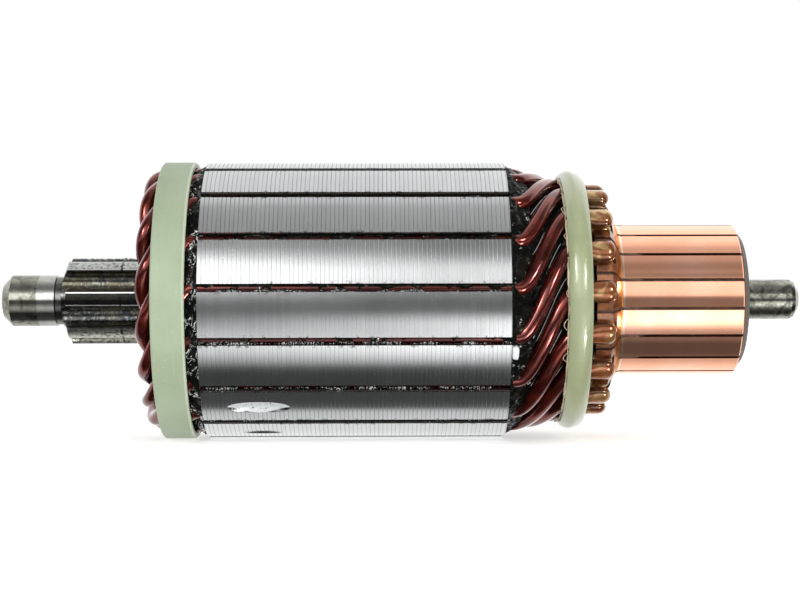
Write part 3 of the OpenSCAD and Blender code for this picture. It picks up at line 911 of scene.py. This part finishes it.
@dataclass(kw_only=True)
class Winding:
    """The hairpin coils, drawn smooth on the same centre lines as their solids."""

    core_start: float
    core_end: float
    wire_r: float = 1.45
    outer_r: float = 24.95
    layer_step: float = 3.3
    outer_close: float = 3.4
    inner_close: float = 3.35
    close_len: float = 17.0
    outer_sag: float = 0.5
    inner_sag: float = 1.3
    insulator: float = 1.2
    straight: float = 0.3
    lean_len: float = 11.2
    lean_steps: int = 22
    risers: float = 16.7
    reach: float = 3.6
    nose: tuple[tuple[float, float], ...] = (
        (0.0, 0.1), (0.05, 0.27), (0.2, 0.5), (0.45, 0.71), (0.85, 0.88), (1.3, 0.97), (1.75, 1.0))
    tip_flat: float = 3.4
    tip_fade: float = 4.0
    tip_width: float = 4.4
    head_gap: float = 0.2
    head_len: float = 7.9
    head_curve: float = 1.4
    head_steps: int = 22
    turn_depth: float = 1.4
    turn_steps: int = 26
    sides: int = 20

    @property
    def lean_start(self) -> float:
        """Place where the legs start to lean at the commutator end."""
        return self.core_end + self.insulator + self.straight

    @property
    def tip(self) -> float:
        """Place of the legs' ends."""
        return self.core_end + self.risers + self.reach

    def closing(self, along: float) -> float:
        """Share of the layers' closing in towards the commutator."""
        return ease((along - self.core_end + 0.1) / self.close_len)

    def leaning(self, along: float) -> float:
        """Share of the lean at the commutator end."""
        return ease((along - self.lean_start) / self.lean_len)

    def outer_at(self, along: float) -> float:
        """Radius of the outer layer's centre line at the commutator end."""
        return self.outer_r - self.outer_close * self.closing(along)

    def outer_lean(self, along: float) -> float:
        """Degrees that the outer legs have leaned at the commutator end."""
        return (2 * SLOT_DEGREES - BAR_LAG) * self.leaning(along)

    def leg(self) -> list[tuple[float, float]]:
        """A leg from its tip to the core.

        Returns:
            Rows of place and share of the full size.
        """
        nose = [(self.tip - back, share) for back, share in self.nose]
        flat = [(self.tip - share * self.tip_flat, 1.0) for share in (0.68, 0.84, 1.0)]
        lean = [(self.lean_start + self.lean_len * (1 - i / self.lean_steps), 1.0)
                for i in range(-1, self.lean_steps + 1)]
        return nose + flat + lean + [(self.lean_start - 0.8, 1.0)]

    def head(self, radius: float, sag: float, degrees: float, lean: float, turn: float) -> list[Station]:
        """A leg's way from the core to the turn at the drive end.

        Args:
            radius: Radius at the core.
            sag: How far it sinks.
            degrees: Angle at the core.
            lean: Angle that it leans.
            turn: How far it has turned over.

        Returns:
            Its sections.
        """
        start = self.core_start - self.insulator - self.head_gap
        return [Station(start - self.head_len * share, radius - sag * ease(share),
                        degrees + lean * share ** self.head_curve, turn, self.wire_r, self.wire_r)
                for share in shares(self.head_steps)]

    def centre_line(self, slot: int) -> list[Station]:
        """Centre line of one hairpin.

        Args:
            slot: The slot of its outer leg.

        Returns:
            Its sections, from the outer leg's tip to the inner leg's.
        """
        wire = self.wire_r
        inner_r = self.outer_r - self.layer_step
        outer_angle = FIRST_SLOT + slot * SLOT_DEGREES
        inner_angle = outer_angle - 4 * SLOT_DEGREES
        turn_share = math.pi / 2 * self.turn_depth * self.head_curve / self.head_len
        head_lean = 2 * SLOT_DEGREES / (1 + turn_share)
        turn_lean = 2 * SLOT_DEGREES - head_lean
        rows = []
        for along, share in self.leg():
            flat = ease((along - self.tip + self.tip_flat + self.tip_fade) / self.tip_fade)
            width = wire + (self.tip_width / 2 - wire) * flat
            rows.append(Station(along, self.outer_at(along), outer_angle + self.outer_lean(along), 0.0,
                                share * width, share * wire))
        rows += self.head(self.outer_r, self.outer_sag, outer_angle, -head_lean, 0.0)
        top, low = self.outer_r - self.outer_sag, inner_r - self.inner_sag
        middle, arm = (top + low) / 2, (top - low) / 2
        head_turn = rows[-1].along
        for i in range(1, self.turn_steps):
            turn = 180.0 * i / self.turn_steps
            rows.append(Station(head_turn - self.turn_depth * math.sin(math.radians(turn)),
                                middle + arm * math.cos(math.radians(turn)),
                                outer_angle - head_lean - turn_lean * turn / 90, turn, wire, wire))
        rows += reversed(self.head(inner_r, self.inner_sag, inner_angle, head_lean, 180.0))
        for along, share in reversed(self.leg()):
            rows.append(Station(along, inner_r - self.inner_close * self.closing(along),
                                inner_angle - (2 * SLOT_DEGREES + BAR_LAG) * self.leaning(along), 180.0,
                                share * wire, share * wire))
        return rows

    def coil(self, slot: int, finish: Material) -> Object:
        """One smooth hairpin.

        Args:
            slot: The slot of its outer leg.
            finish: Its material.

        Returns:
            The hairpin's object.
        """
        rows = self.centre_line(slot)
        spots = [Vector(on_shaft(row.along, row.radius, row.degrees)) for row in rows]
        points: list[Point] = []
        for i, row in enumerate(rows):
            before, after = spots[max(i - 1, 0)], spots[min(i + 1, len(rows) - 1)]
            along = (after - before).normalized()
            out = Vector(on_shaft(0.0, 1.0, row.degrees)).normalized()
            turn = math.radians(row.turn)
            wanted = out * math.cos(turn) - Vector((1, 0, 0)) * math.sin(turn)
            up = (wanted - along * wanted.dot(along)).normalized()
            side = along.cross(up)
            for j in range(self.sides):
                around = FULL_TURN * (j + 0.5) / self.sides
                spot = spots[i] + up * (row.half_height * MM * math.cos(around))
                points.append(tuple(spot + side * (row.half_width * MM * math.sin(around))))
        faces = ring_faces(len(rows), self.sides, capped=True)
        made = add_mesh(f"hairpin_{slot + 1:02d}", "enamelled_wire", points, faces, finish)
        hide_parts(f"coil_{slot + 1:02d}")
        return made

    def build(self, finish: Material) -> None:
        """All hairpins."""
        for slot in range(SLOTS):
            self.coil(slot, finish)


@dataclass(kw_only=True)
class Piece:
    """Base of the drawn pieces: a mesh with a name and a material slot."""

    title: str
    slot: str = "core_insulation"

    def shape(self) -> Shape:
        """The piece's points in metres and its faces."""
        raise NotImplementedError

    def build(self, finish: Material) -> Object:
        """The piece as an object with its finish."""
        return add_mesh(self.title, self.slot, *self.shape(), finish)


@dataclass(kw_only=True)
class VarnishCollar(Piece):
    """Lumpy varnish that fills the corner between the core and a coil end."""

    start: float
    end: float
    start_r: float
    end_r: float
    low_r: float
    seed: float
    lump: float = 0.55
    top_r: float = 27.1
    noise_reach: float = 23.4
    around: int = 520
    across: int = 12

    def shape(self) -> Shape:
        """A closed ring whose outside is lumpy.

        Returns:
            Its points and faces.
        """
        points: list[Point] = []
        for degrees in turns(self.around):
            for share in shares(self.across - 1):
                along = self.start + (self.end - self.start) * share
                radius = self.start_r + (self.end_r - self.start_r) * share
                spot = noise_spot(along * 1.1, degrees, self.noise_reach)
                rough = noise.noise(spot * 0.9 + Vector((self.seed, 0, 0)))
                fine = noise.noise(spot * 2.3 + Vector((0, self.seed, 0)))
                beads = max(0.0, noise.noise(spot * 1.5 + Vector((0, 0, self.seed))) - 0.25)
                radius += self.lump * (rough * 0.7 + fine * 0.45 + beads * 1.2)
                points.append(on_shaft(along, min(radius, self.top_r), degrees))
            points += [on_shaft(along, self.low_r, degrees) for along in (self.end, self.start)]
        return points, ring_faces(self.around, self.across + 2, closed=True)


@dataclass(kw_only=True)
class SlotVarnish(Piece):
    """Runs of varnish in the slot mouths, broken where the wire shows."""

    start: float
    end: float
    title: str = "slot_varnish"
    slot: str = "slot_insulation"
    half_width: float = 0.76
    low_r: float = 25.9
    rise: float = 0.95
    depth: float = 0.4
    steps: int = 190
    across: int = 5

    def shape(self) -> Shape:
        """One uneven ribbon in each slot.

        Returns:
            Their points and faces.
        """
        points: list[Point] = []
        faces: Faces = []
        rings, sides = self.steps + 1, self.across + 2
        edge = math.degrees(self.half_width / MOUTH_R)
        for slot in range(SLOTS):
            faces += ring_faces(rings, sides, capped=True, first=len(points))
            middle = FIRST_SLOT + slot * SLOT_DEGREES
            for i in range(rings):
                along = self.start + (self.end - self.start) * i / self.steps
                for share in shares(self.across - 1):
                    side = (share - 0.5) * 2.0
                    spot = Vector((along * 0.35, slot * 7.3, side * 0.7))
                    run = noise.noise(spot) * 0.75 + noise.noise(spot * 3.1) * 0.45
                    fine = noise.noise(spot * 8.0) * 0.2
                    radius = self.low_r + self.rise * held(0.35 + run + fine + 0.3 * side ** 2)
                    points.append(on_shaft(along, radius, middle + side * edge))
                points += [on_shaft(along, self.low_r - self.depth, middle + turn) for turn in (edge, -edge)]
        return points, faces


@dataclass(kw_only=True)
class GapVarnish(Piece):
    """Varnish and folded insulation between the leaning wires at the commutator end."""

    winding: Winding
    title: str = "gap_varnish"
    start: float = 1.4
    end: float = 11.4
    depth: float = 0.75
    fold: float = 0.5
    fold_at: float = 0.46
    fold_width: float = 0.055
    start_depth: float = 2.0
    end_depth: float = 1.7
    around: int = 680
    across: int = 44

    def shape(self) -> Shape:
        """A closed skin between the wires, with a fold along the middle of each gap.

        Returns:
            Its points and faces.
        """
        wires = self.winding
        start, end = wires.core_end + self.start, wires.core_end + self.end
        points: list[Point] = []
        for degrees in turns(self.around):
            for j in range(self.across):
                along = start + (end - start) * j / (self.across - 1)
                phase = ((degrees - FIRST_SLOT - wires.outer_lean(along)) / SLOT_DEGREES) % 1.0
                wander = 0.07 * noise.noise(noise_spot(along * 0.3, degrees, 4.0))
                ridge = math.exp(-((phase - self.fold_at + wander) / self.fold_width) ** 2)
                spot = noise_spot(along * 0.8, degrees, 20.0)
                rough = noise.noise(spot * 0.7) * 0.3 + noise.noise(spot * 2.0) * 0.12
                radius = wires.outer_at(along) - self.depth + self.fold * ridge + rough
                points.append(on_shaft(along, radius, degrees))
            points.append(on_shaft(end, wires.outer_r - wires.outer_close - self.end_depth, degrees))
            points.append(on_shaft(start, wires.outer_r - self.start_depth, degrees))
        return points, ring_faces(self.around, self.across + 2, closed=True)


@dataclass(kw_only=True)
class FoldHighlights(Piece):
    """Pale broken threads on the folds of the insulation, proud of the varnish between the wires: painted
    highlights along the folds.
    """

    skin: GapVarnish
    title: str = "fold_highlight_threads"
    start: float = 3.6
    end: float = 10.6
    thick: float = 0.1
    least: float = 0.005
    lift: float = 0.02
    steps: int = 60
    sides: int = 6

    def shape(self) -> Shape:
        """One broken thread along the fold of each gap.

        Returns:
            Their points and faces.
        """
        wires = self.skin.winding
        start, end = wires.core_end + self.start, wires.core_end + self.end
        points: list[Point] = []
        faces: Faces = []
        for gap in range(SLOTS):
            faces += ring_faces(self.steps + 1, self.sides, capped=True, first=len(points))
            for i in range(self.steps + 1):
                along = start + (end - start) * i / self.steps
                wander = 0.04 * noise.noise(Vector((along * 0.35, gap * 3.7, 0.0)))
                middle = (gap + self.skin.fold_at - wander) * SLOT_DEGREES
                degrees = FIRST_SLOT + middle + wires.outer_lean(along)
                shown = noise.noise(Vector((along * 0.3, gap * 5.3, 2.0))) + 0.04
                thick = self.thick * held(shown * 5.0)
                sunk = self.lift + (thick - self.thick) * 2.0
                radius = wires.outer_at(along) - self.skin.depth + self.skin.fold + sunk
                thick += self.least
                for j in range(self.sides):
                    around = FULL_TURN * j / self.sides
                    turn = math.degrees(thick * math.cos(around) / radius)
                    points.append(on_shaft(along, radius + thick * math.sin(around), degrees + turn))
        return points, faces


@dataclass(kw_only=True)
class ThreadBead(Piece):
    """Dried resin along the edge of the rounded banding ring."""

    along: float
    title: str = "thread_bead"
    slot: str = "round_banding"
    radius: float = 24.0
    thick: float = 0.28
    around: int = 420
    sides: int = 8

    def shape(self) -> Shape:
        """An uneven bead all round.

        Returns:
            Its points and faces.
        """
        points: list[Point] = []
        for degrees in turns(self.around):
            x, y = math.cos(math.radians(degrees)), math.sin(math.radians(degrees))
            wave = noise.noise(Vector((x * 9, y * 9, 1.7)))
            fine = noise.noise(Vector((x * 40, y * 40, 5.1)))
            thick = self.thick * (0.75 + 0.7 * wave + 0.4 * fine)
            points += thread_ring(self.along - 0.1 + 0.22 * fine, self.radius + 0.15 * wave,
                                  degrees, thick, self.sides)
        return points, ring_faces(self.around, self.sides, closed=True)


@dataclass(kw_only=True)
class StrayThreads(Piece):
    """Frayed glass threads that bow out of the rounded banding ring."""

    along: float
    title: str = "stray_threads"
    slot: str = "round_banding"
    radius: float = 24.1
    thick: float = 0.09
    count: int = 27
    steps: int = 9
    sides: int = 4

    def shape(self) -> Shape:
        """Short bowed threads at uneven places.

        Returns:
            Their points and faces.
        """
        points: list[Point] = []
        faces: Faces = []
        for i, degrees in enumerate(turns(self.count)):
            start = degrees + 5.0 * noise.noise(Vector((i * 1.7, 0.3, 0)))
            reach = 4.0 + 5.0 * abs(noise.noise(Vector((i * 0.9, 7.3, 0))))
            back = 0.3 + 3.0 * abs(noise.noise(Vector((i * 1.3, 2.2, 9.0))))
            faces += ring_faces(self.steps, self.sides, capped=True, first=len(points))
            for share in shares(self.steps - 1):
                bow = math.sin(math.pi * share)
                points += thread_ring(self.along - back * bow * 0.8, self.radius + 0.25 * bow + 0.1,
                                      start + reach * share, self.thick, self.sides)
        return points, faces


@dataclass(kw_only=True)
class PaintDab(Piece):
    """Small oblong dab of marking paint at the commutator end of the core."""

    along: float
    title: str = "paint_dab"
    radius: float = 26.8
    degrees: float = -21.8
    half_length: float = 0.72
    half_width: float = 1.4
    height: float = 0.35
    sunk: float = 0.6
    squareness: float = 3.5
    rings: int = 9
    sides: int = 40

    def shape(self) -> Shape:
        """A low uneven dome.

        Returns:
            Its points and faces.
        """
        points: list[Point] = [on_shaft(self.along, self.radius + self.height, self.degrees)]
        power = self.squareness
        for share in shares(self.rings)[1:]:
            height = self.height * (1 - share ** 4) - (self.sunk if share == 1.0 else 0.0)
            for j in range(self.sides):
                turn = FULL_TURN * j / self.sides
                across, up = math.cos(turn), math.sin(turn)
                square = (abs(across) ** power + abs(up) ** power) ** (-1 / power)
                ragged = square * (1 + 0.13 * noise.noise(Vector((across * 1.8, up * 1.8, 3.0))))
                points.append(on_shaft(
                    self.along + self.half_length * share * ragged * across, self.radius + height,
                    self.degrees + math.degrees(self.half_width * share * ragged * up / self.radius)))
        faces = [[0, 1 + j, 1 + (j + 1) % self.sides] for j in range(self.sides)]
        faces += ring_faces(self.rings, self.sides, first=1)
        last = 1 + (self.rings - 1) * self.sides
        return points, faces + [list(range(last, last + self.sides))]


@dataclass
class CadDress:
    """Finishes for the solids that stay as they are."""

    sharp_edge: float = math.radians(28)
    rounding_steps: int = 3

    def dress(self, finish: Finish, keep: Callable[[str], bool], rounding: float = 0.0) -> None:
        """Give a finish to all solids whose name is kept.

        Args:
            finish: Their finish.
            keep: Says whether a node is one of them.
            rounding: Width in mm of the rounding on their edges.
        """
        material = finish.material()
        for title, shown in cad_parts.items():
            if not keep(title) or shown.type != "MESH":
                continue
            for slot in shown.material_slots:
                slot.material = material
            if not shown.material_slots:
                shown.data.materials.append(material)
            if rounding:
                bevel = shown.modifiers.new("edge_rounding", "BEVEL")
                bevel.width = rounding * MM
                bevel.segments = self.rounding_steps
                bevel.limit_method = "ANGLE"
                bevel.angle_limit = self.sharp_edge
            log.info("dressed %s with %s", title, material.name)


@dataclass
class Studio:
    """White room with soft bands of light, a floor and the camera."""

    eye: Point = (0.0687, -0.355, 0.0)
    lens: float = 79.74
    yaw: float = -0.65
    roll: float = 0.12
    plain: float = 0.8
    floor_half: float = 6.0
    floor_gap: float = 0.0001
    floor_glow: float = 0.55
    floor_bounce: float = 0.35
    side_share: float = 0.3
    lamp_width: float = 1.6
    lamps: tuple[tuple[str, Point, float, float], ...] = (
        ("key", (0.02, -0.6, 0.14), 0.5, 1.2), ("fill", (0.15, -0.6, 0.0), 0.04, 0.7))
    columns: tuple[tuple[float, float, Stops], ...] = (
        (-0.17, -0.17, (
            (-180, 1.1), (-118, 1.0), (-108, 0.85), (-100, 0.12), (-55, 0.05), (-48, 0.4), (-42, 0.6),
            (-30, 0.9), (-20, 0.4), (-12, 0.15), (3, 0.17), (7, 3.0), (30, 3.5), (38, 1.3), (46, 0.5),
            (57, 0.25), (74, 0.4), (90, 0.8), (105, 1.3), (125, 1.3), (180, 1.2))),
        (-0.16, -0.11, (
            (-180, 1.1), (-124, 1.05), (-104, 0.65), (-101, 0.08), (-62, 0.06), (-57, 0.1), (-53, 0.35),
            (-46, 0.7), (-40, 1.1), (-36, 1.5), (-32, 1.3), (-28, 0.8), (-24, 0.6), (-15, 0.33),
            (-9, 0.2), (1, 0.28), (4, 0.8), (8, 1.2), (13, 1.8), (22, 2.2), (31, 1.5), (38, 0.9),
            (44, 0.48), (60, 0.42), (84, 0.5), (90, 0.85), (112, 0.9), (180, 1.1))),
        (-0.1, 0.06, (
            (-180, 1.05), (-121, 0.95), (-104, 0.75), (-101, 0.08), (-62, 0.05), (-57, 0.1), (-53, 0.5),
            (-49, 1.0), (-44, 1.35), (-38, 1.9), (-32, 1.6), (-27, 0.9), (-19, 1.1), (-14, 0.65),
            (-9, 0.16), (1, 0.12), (7, 0.3), (12, 0.55), (18, 0.95), (27, 0.9), (33, 0.5), (40, 0.25),
            (47, 0.22), (55, 0.35), (66, 0.48), (84, 0.55), (92, 0.9), (104, 1.0), (180, 1.1))),
        (0.075, 0.13, (
            (-180, 1.5), (-128, 1.3), (-106, 0.75), (-99, 0.3), (-92, 0.12), (-70, 0.12), (-58, 0.33),
            (-52, 0.4), (-45, 0.9), (-38, 2.1), (-30, 3.1), (-20, 2.8), (-15, 1.8), (-11, 0.28),
            (3, 0.28), (7, 1.5), (27, 1.6), (33, 1.0), (36, 0.25), (42, 0.5), (49, 0.36), (56, 0.4),
            (62, 0.58), (69, 0.64), (85, 0.8), (93, 1.2), (101, 1.5), (180, 1.6))))
    windows: tuple[tuple[float, float, float, float, float], ...] = (
        (0.42, 0.6, 13.0, 34.0, 12.0), (0.42, 0.6, -45.0, -28.0, 13.0),
        (0.42, 0.6, 22.0, 25.0, 60.0), (0.42, 0.6, -38.0, -35.0, 60.0),
        (-0.64, -0.44, 17.0, 42.0, 10.0), (-0.6, -0.5, 29.0, 33.0, 50.0))

    def bands(self, graph: Graph, height: Socket, stops: Stops) -> Socket:
        """Light by height round the shaft.

        Args:
            graph: The world's nodes.
            height: Angle up from the front side, with a full turn from 0 to 1.
            stops: Rows of angle in degrees and brightness.

        Returns:
            The brightness.
        """
        top = max(value for _, value in stops)
        lit = graph.ramp(height, [((place + 180.0) / 360.0, value / top) for place, value in stops])
        return graph.out(graph.node("ShaderNodeSeparateColor", None, {0: lit}), 0) * top

    def reflected(self, graph: Graph) -> Socket:
        """What glossy surfaces show: bands of light, dimmer to the sides, with bright windows.

        Args:
            graph: The world's nodes.

        Returns:
            The brightness.
        """
        x, y, z = graph.split(graph.out(graph.node("ShaderNodeTexCoord"), "Generated"))
        height = (z.direction_from(y * -1.0) * (180.0 / math.pi) + 180.0) / 360.0
        glossy: Value = 0.0
        for low, high, stops in self.columns:
            light = self.bands(graph, height, stops)
            share = x.step(low, high) if low < high else 1.0
            glossy = light * share + (1.0 - share) * glossy
        turn = (height - 0.5) * 360.0
        side = abs(x).step(0.3, 0.4) * abs(turn).step(115.0, 95.0)
        glossy = glossy * (1.0 - side * (1.0 - self.side_share))
        for left, right, low, high, light in self.windows:
            glossy += x.between(left, right, 0.03) * turn.between(low, high, 2.0) * light
        return glossy

    def world(self) -> None:
        """White to the camera, banded to glossy surfaces, plain to the rest."""
        world = bpy.data.worlds.new("soft_room")
        world.use_nodes = True
        bpy.context.scene.world = world
        graph = Graph(world.node_tree)
        path = graph.node("ShaderNodeLightPath")
        is_glossy = graph.out(path, "Is Glossy Ray")
        seen = graph.out(path, "Is Camera Ray").at_least(graph.out(path, "Is Transmission Ray"))
        level = is_glossy * self.reflected(graph) + (1.0 - is_glossy) * self.plain
        back = graph.node("ShaderNodeBackground", None, {
            "Color": (1.0, 1.0, 1.0), "Strength": seen + (1.0 - seen) * level})
        graph.node("ShaderNodeOutputWorld", None, {"Surface": graph.out(back)})

    def floor(self) -> None:
        """Pale floor under the part that keeps its shadow."""
        low = CAD_BOX[0][2] - self.floor_gap
        mesh = bpy.data.meshes.new("floor")
        corners = ((-1, -1), (1, -1), (1, 1), (-1, 1))
        mesh.from_pydata([(x * self.floor_half, y * self.floor_half, low) for x, y in corners],
                         [], [(0, 1, 2, 3)])
        made = bpy.data.objects.new("floor", mesh)
        bpy.context.scene.collection.objects.link(made)
        made.visible_glossy = False
        paint = bpy.data.materials.new("floor_paint")
        paint.use_nodes = True
        graph = Graph(paint.node_tree)
        path = graph.node("ShaderNodeLightPath")
        glow = graph.out(path, "Is Camera Ray") * self.floor_glow
        glow += graph.out(path, "Is Diffuse Ray") * self.floor_bounce
        graph.surface({
            "Base Color": graph.blend(graph.mottle(3.0, 2.0), (0.9, 0.9, 0.9), (0.92, 0.92, 0.92)),
            "Roughness": 0.9, "Specular IOR Level": 0.0,
            "Emission Color": graph.join(glow, glow, glow), "Emission Strength": 1.0})
        mesh.materials.append(paint)

    def light(self) -> None:
        """Soft lamps that shape the matt pieces."""
        centre = Vector([(a + b) / 2 for a, b in zip(*CAD_BOX)])
        for title, spot, size, power in self.lamps:
            data = bpy.data.lights.new(title, "AREA")
            data.shape = "RECTANGLE"
            data.size, data.size_y = size * self.lamp_width, size
            data.energy = power
            lamp = bpy.data.objects.new(title, data)
            lamp.location = spot
            lamp.rotation_euler = (centre - Vector(spot)).to_track_quat("-Z", "Y").to_euler()
            lamp.visible_glossy = False
            bpy.context.scene.collection.objects.link(lamp)

    def camera(self) -> None:
        """Camera square to the shaft, a little to the left of the middle."""
        data = bpy.data.cameras.new("camera")
        data.lens = self.lens
        data.sensor_width = 36.0
        data.clip_start = 0.01
        made = bpy.data.objects.new("camera", data)
        made.location = self.eye
        made.rotation_euler = (math.radians(90), math.radians(self.roll), math.radians(self.yaw))
        bpy.context.scene.collection.objects.link(made)
        bpy.context.scene.camera = made

    def build(self) -> None:
        """Camera, world, floor and lamps."""
        self.camera()
        self.world()
        self.floor()
        self.light()
        bpy.context.scene.view_settings.view_transform = "Standard"
        log.info("built the studio")


def main() -> None:
    """Build the looks and report each piece."""
    logging.basicConfig(level=logging.INFO, format="%(name)s: %(message)s")
    core_start, core_end = node_ends("lamination_stack")
    flat_band_end = node_ends("drive_end_band")[1]
    round_band_start = node_ends("commutator_end_band")[0]
    Studio().build()

    cad = CadDress()
    cad.dress(GroundCore(start=core_start), lambda n: n == "lamination_stack")
    cad.dress(ShaftSteel(), lambda n: n == "shaft", 0.2)
    cad.dress(BlackVarnish(), lambda n: n.endswith(("insulator", "sleeve")) or n == "slot_liners")
    cad.dress(GlassBand(painted_highlight_end=flat_band_end), lambda n: n == "drive_end_band")
    round_band = GlassBand(title="round_band", gloss=BandGloss.VARNISHED, body=(0.335, 0.375, 0.22),
                           deep=(0.28, 0.315, 0.165), pale=(0.5, 0.54, 0.37))
    cad.dress(round_band, lambda n: n == "commutator_end_band")
    cad.dress(TurnedCopper(), lambda n: n.startswith("commutator_bar"), 0.08)
    mica = MouldedResin(title="mica", body=(0.12, 0.06, 0.035), deep=(0.05, 0.022, 0.012), rough=0.6)
    cad.dress(mica, lambda n: n == "bar_insulation")
    cad.dress(MouldedResin(), lambda n: n == "commutator_hub")
    cad.dress(PlainSteel(), lambda n: n == "commutator_bush")

    winding = Winding(core_start=core_start, core_end=core_end)
    winding.build(WireEnamel(core_start, core_end).material())
    VarnishCollar(title="drive_end_varnish", start=flat_band_end - 1.0, end=core_start + 0.02,
                  start_r=25.3, end_r=26.75, low_r=23.0, seed=3.1).build(
        BlackVarnish(title="drive_end_varnish", painted_glint_lines=0.95).material())
    VarnishCollar(title="commutator_end_varnish", start=core_end - 0.02, end=core_end + 4.2,
                  start_r=26.8, end_r=24.2, low_r=22.9, seed=8.4).build(
        BlackVarnish(title="commutator_end_varnish", painted_glint_lines=0.8, sparse=0.61, coat_index=1.26).material())
    SlotVarnish(start=core_start, end=core_end).build(
        BlackVarnish(title="slot_varnish_finish", painted_slot_glints=0.8).material())
    skin = GapVarnish(winding=winding)
    skin.build(BlackVarnish(title="gap_varnish_finish", lump_depth=0.0001, thin_share=0.1,
                            coat_index=1.22).material())
    # Painted highlights: pale threads along the folds between the wires.
    FoldHighlights(skin=skin).build(
        Paint(title="fold_highlight_paint", body=(0.75, 0.75, 0.72), shade=(0.45, 0.44, 0.42)).material())
    cream = Paint(title="dried_resin", body=(0.75, 0.68, 0.5), shade=(0.28, 0.2, 0.11)).material()
    ThreadBead(along=round_band_start).build(cream)
    StrayThreads(along=round_band_start).build(cream)
    PaintDab(along=core_end + 0.8).build(Paint().material())


if __name__ == "__main__":
    main()
